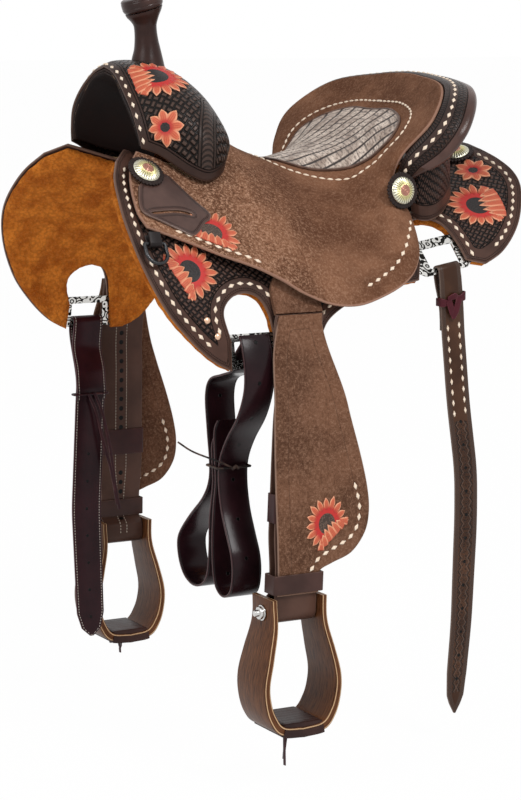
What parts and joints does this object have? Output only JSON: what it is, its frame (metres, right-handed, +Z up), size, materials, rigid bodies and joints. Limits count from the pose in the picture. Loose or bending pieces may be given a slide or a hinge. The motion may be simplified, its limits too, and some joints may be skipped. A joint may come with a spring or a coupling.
{
  "type": "cow horse saddle",
  "caption": "Western cow horse saddle with horn, rough-out seat and fenders, floral-tooled skirts, fleece lining, walnut stirrups and cinch straps, hanging as on a stand.",
  "frame": {"origin": "on the centre plane in the horse's channel, just below the middle of the seat, where the saddle sits on the horse's back", "axes": "+Z up; +X towards the cantle, so the horn is at -X; +Y to the off (far) side"},
  "size_m": [0.6731, 0.6567, 1.0534],
  "materials": {
    "rough_out_leather": "rough-out, napped",
    "tooled_leather": "tooled, semi-matt",
    "smooth_leather": "smooth, satin",
    "burgundy_leather": "oiled, satin",
    "fleece": "woolly",
    "tree_wood": "raw",
    "walnut": "varnished laminate",
    "engraved_steel": "engraved",
    "silver": "sunburst engraved, polished"
  },
  "bodies": {
    "saddle": {"tree_fork": "tree_wood", "tree_bar_near": "tree_wood", "tree_bar_far": "tree_wood", "tree_cantle": "tree_wood", "ground_seat": "tree_wood", "horn_core": "tree_wood", "horn_wrap": "smooth_leather", "horn_cap": "smooth_leather", "gullet_liner": "smooth_leather", "seat_inlay": "smooth_leather", "rope_strap": "smooth_leather", "stirrup_leather_top_near": "smooth_leather", "stirrup_leather_top_far": "smooth_leather", "swell_cover": "tooled_leather", "seat_cover": "tooled_leather", "cantle_back": "tooled_leather", "cantle_roll": "tooled_leather", "dee_loop_near": "tooled_leather", "dee_loop_far": "tooled_leather", "skirt_near": "rough_out_leather", "skirt_far": "rough_out_leather", "fleece_near": "fleece", "fleece_far": "fleece", "front_plate_near": "engraved_steel", "front_plate_far": "engraved_steel", "rear_plate_near": "engraved_steel", "rear_plate_far": "engraved_steel", "front_concho_near": "silver", "front_concho_far": "silver", "rear_concho_near": "silver", "rear_concho_far": "silver", "jockey_concho_near": "silver", "jockey_concho_far": "silver"},
    "near_leather": {"stirrup_leather_near": "smooth_leather"},
    "near_fender": {"fender_near": "tooled_leather", "stirrup_strap_near": "smooth_leather", "hobble_near": "tooled_leather"},
    "near_sleeve": {"sleeve_near": "engraved_steel"},
    "near_stirrup": {"stirrup_near": "walnut", "tread_near": "smooth_leather", "stirrup_bolt_near": "engraved_steel", "tread_lace_near": "burgundy_leather"},
    "near_rear_billet": {"rear_billet_near": "burgundy_leather"},
    "near_dee": {"dee_near": "engraved_steel"},
    "far_leather": {"stirrup_leather_far": "smooth_leather"},
    "far_fender": {"fender_far": "tooled_leather", "stirrup_strap_far": "smooth_leather", "hobble_far": "tooled_leather"},
    "far_sleeve": {"sleeve_far": "engraved_steel"},
    "far_stirrup": {"stirrup_far": "walnut", "tread_far": "smooth_leather", "stirrup_bolt_far": "engraved_steel", "tread_lace_far": "burgundy_leather"},
    "far_rear_billet": {"rear_billet_far": "burgundy_leather"},
    "far_dee": {"dee_far": "engraved_steel"},
    "latigo": {"latigo": "burgundy_leather", "latigo_tie": "burgundy_leather"},
    "off_billet": {"off_billet": "burgundy_leather", "off_lace": "burgundy_leather"}
  },
  "joints": [
    {"name": "near_leather_swing", "type": "hinge", "parent": "saddle", "child": "near_leather", "pos_m": [-0.0875, -0.2564, -0.1276], "axis": [0, -0.8878, 0.4602], "range_deg": [0, 20]},
    {"name": "near_fender_lift", "type": "hinge", "parent": "near_leather", "child": "near_fender", "pos_m": [-0.0875, -0.282, -0.152], "axis": [-1, 0, 0], "range_deg": [0, 40]},
    {"name": "near_sleeve_slide", "type": "slide", "parent": "near_fender", "child": "near_sleeve", "axis": [0.0413, 0, 0.9991], "range_m": [0, 0.04]},
    {"name": "near_stirrup_swivel", "type": "hinge", "parent": "near_fender", "child": "near_stirrup", "pos_m": [-0.1155, -0.2956, -0.55], "axis": [1, 0, 0], "range_deg": [-10, 10]},
    {"name": "near_rear_billet_swing", "type": "hinge", "parent": "saddle", "child": "near_rear_billet", "pos_m": [0.17557, -0.22873, -0.10746], "axis": [0.9858, 0.0759, 0.15], "range_deg": [-25, 15]},
    {"name": "near_dee_lift", "type": "hinge", "parent": "saddle", "child": "near_dee", "pos_m": [-0.28523, -0.23077, -0.0523], "axis": [-0.994, -0.0927, 0.0582], "range_deg": [0, 65]},
    {"name": "far_leather_swing", "type": "hinge", "parent": "saddle", "child": "far_leather", "pos_m": [-0.0875, 0.2564, -0.1276], "axis": [0, 0.8878, 0.4602], "range_deg": [-20, 0]},
    {"name": "far_fender_lift", "type": "hinge", "parent": "far_leather", "child": "far_fender", "pos_m": [-0.0875, 0.282, -0.152], "axis": [1, 0, 0], "range_deg": [0, 40]},
    {"name": "far_sleeve_slide", "type": "slide", "parent": "far_fender", "child": "far_sleeve", "axis": [0.0118, 0, 0.9999], "range_m": [0, 0.04]},
    {"name": "far_stirrup_swivel", "type": "hinge", "parent": "far_fender", "child": "far_stirrup", "pos_m": [-0.0955, 0.2811, -0.55], "axis": [1, 0, 0], "range_deg": [0, 10]},
    {"name": "far_rear_billet_swing", "type": "hinge", "parent": "saddle", "child": "far_rear_billet", "pos_m": [0.17557, 0.22873, -0.10746], "axis": [0.9858, -0.0759, 0.15], "range_deg": [-15, 25]},
    {"name": "far_dee_lift", "type": "hinge", "parent": "saddle", "child": "far_dee", "pos_m": [-0.28523, 0.23077, -0.0523], "axis": [0.994, -0.0927, -0.0582], "range_deg": [0, 65]},
    {"name": "latigo_swing", "type": "hinge", "parent": "saddle", "child": "latigo", "pos_m": [-0.15702, -0.26769, -0.21634], "axis": [1, 0.0033, -0.0012], "range_deg": [0, 9]},
    {"name": "off_billet_swing", "type": "hinge", "parent": "saddle", "child": "off_billet", "pos_m": [-0.15702, 0.26769, -0.21634], "axis": [-1, 0.0033, 0.0012], "range_deg": [0, 18]}
  ]
}
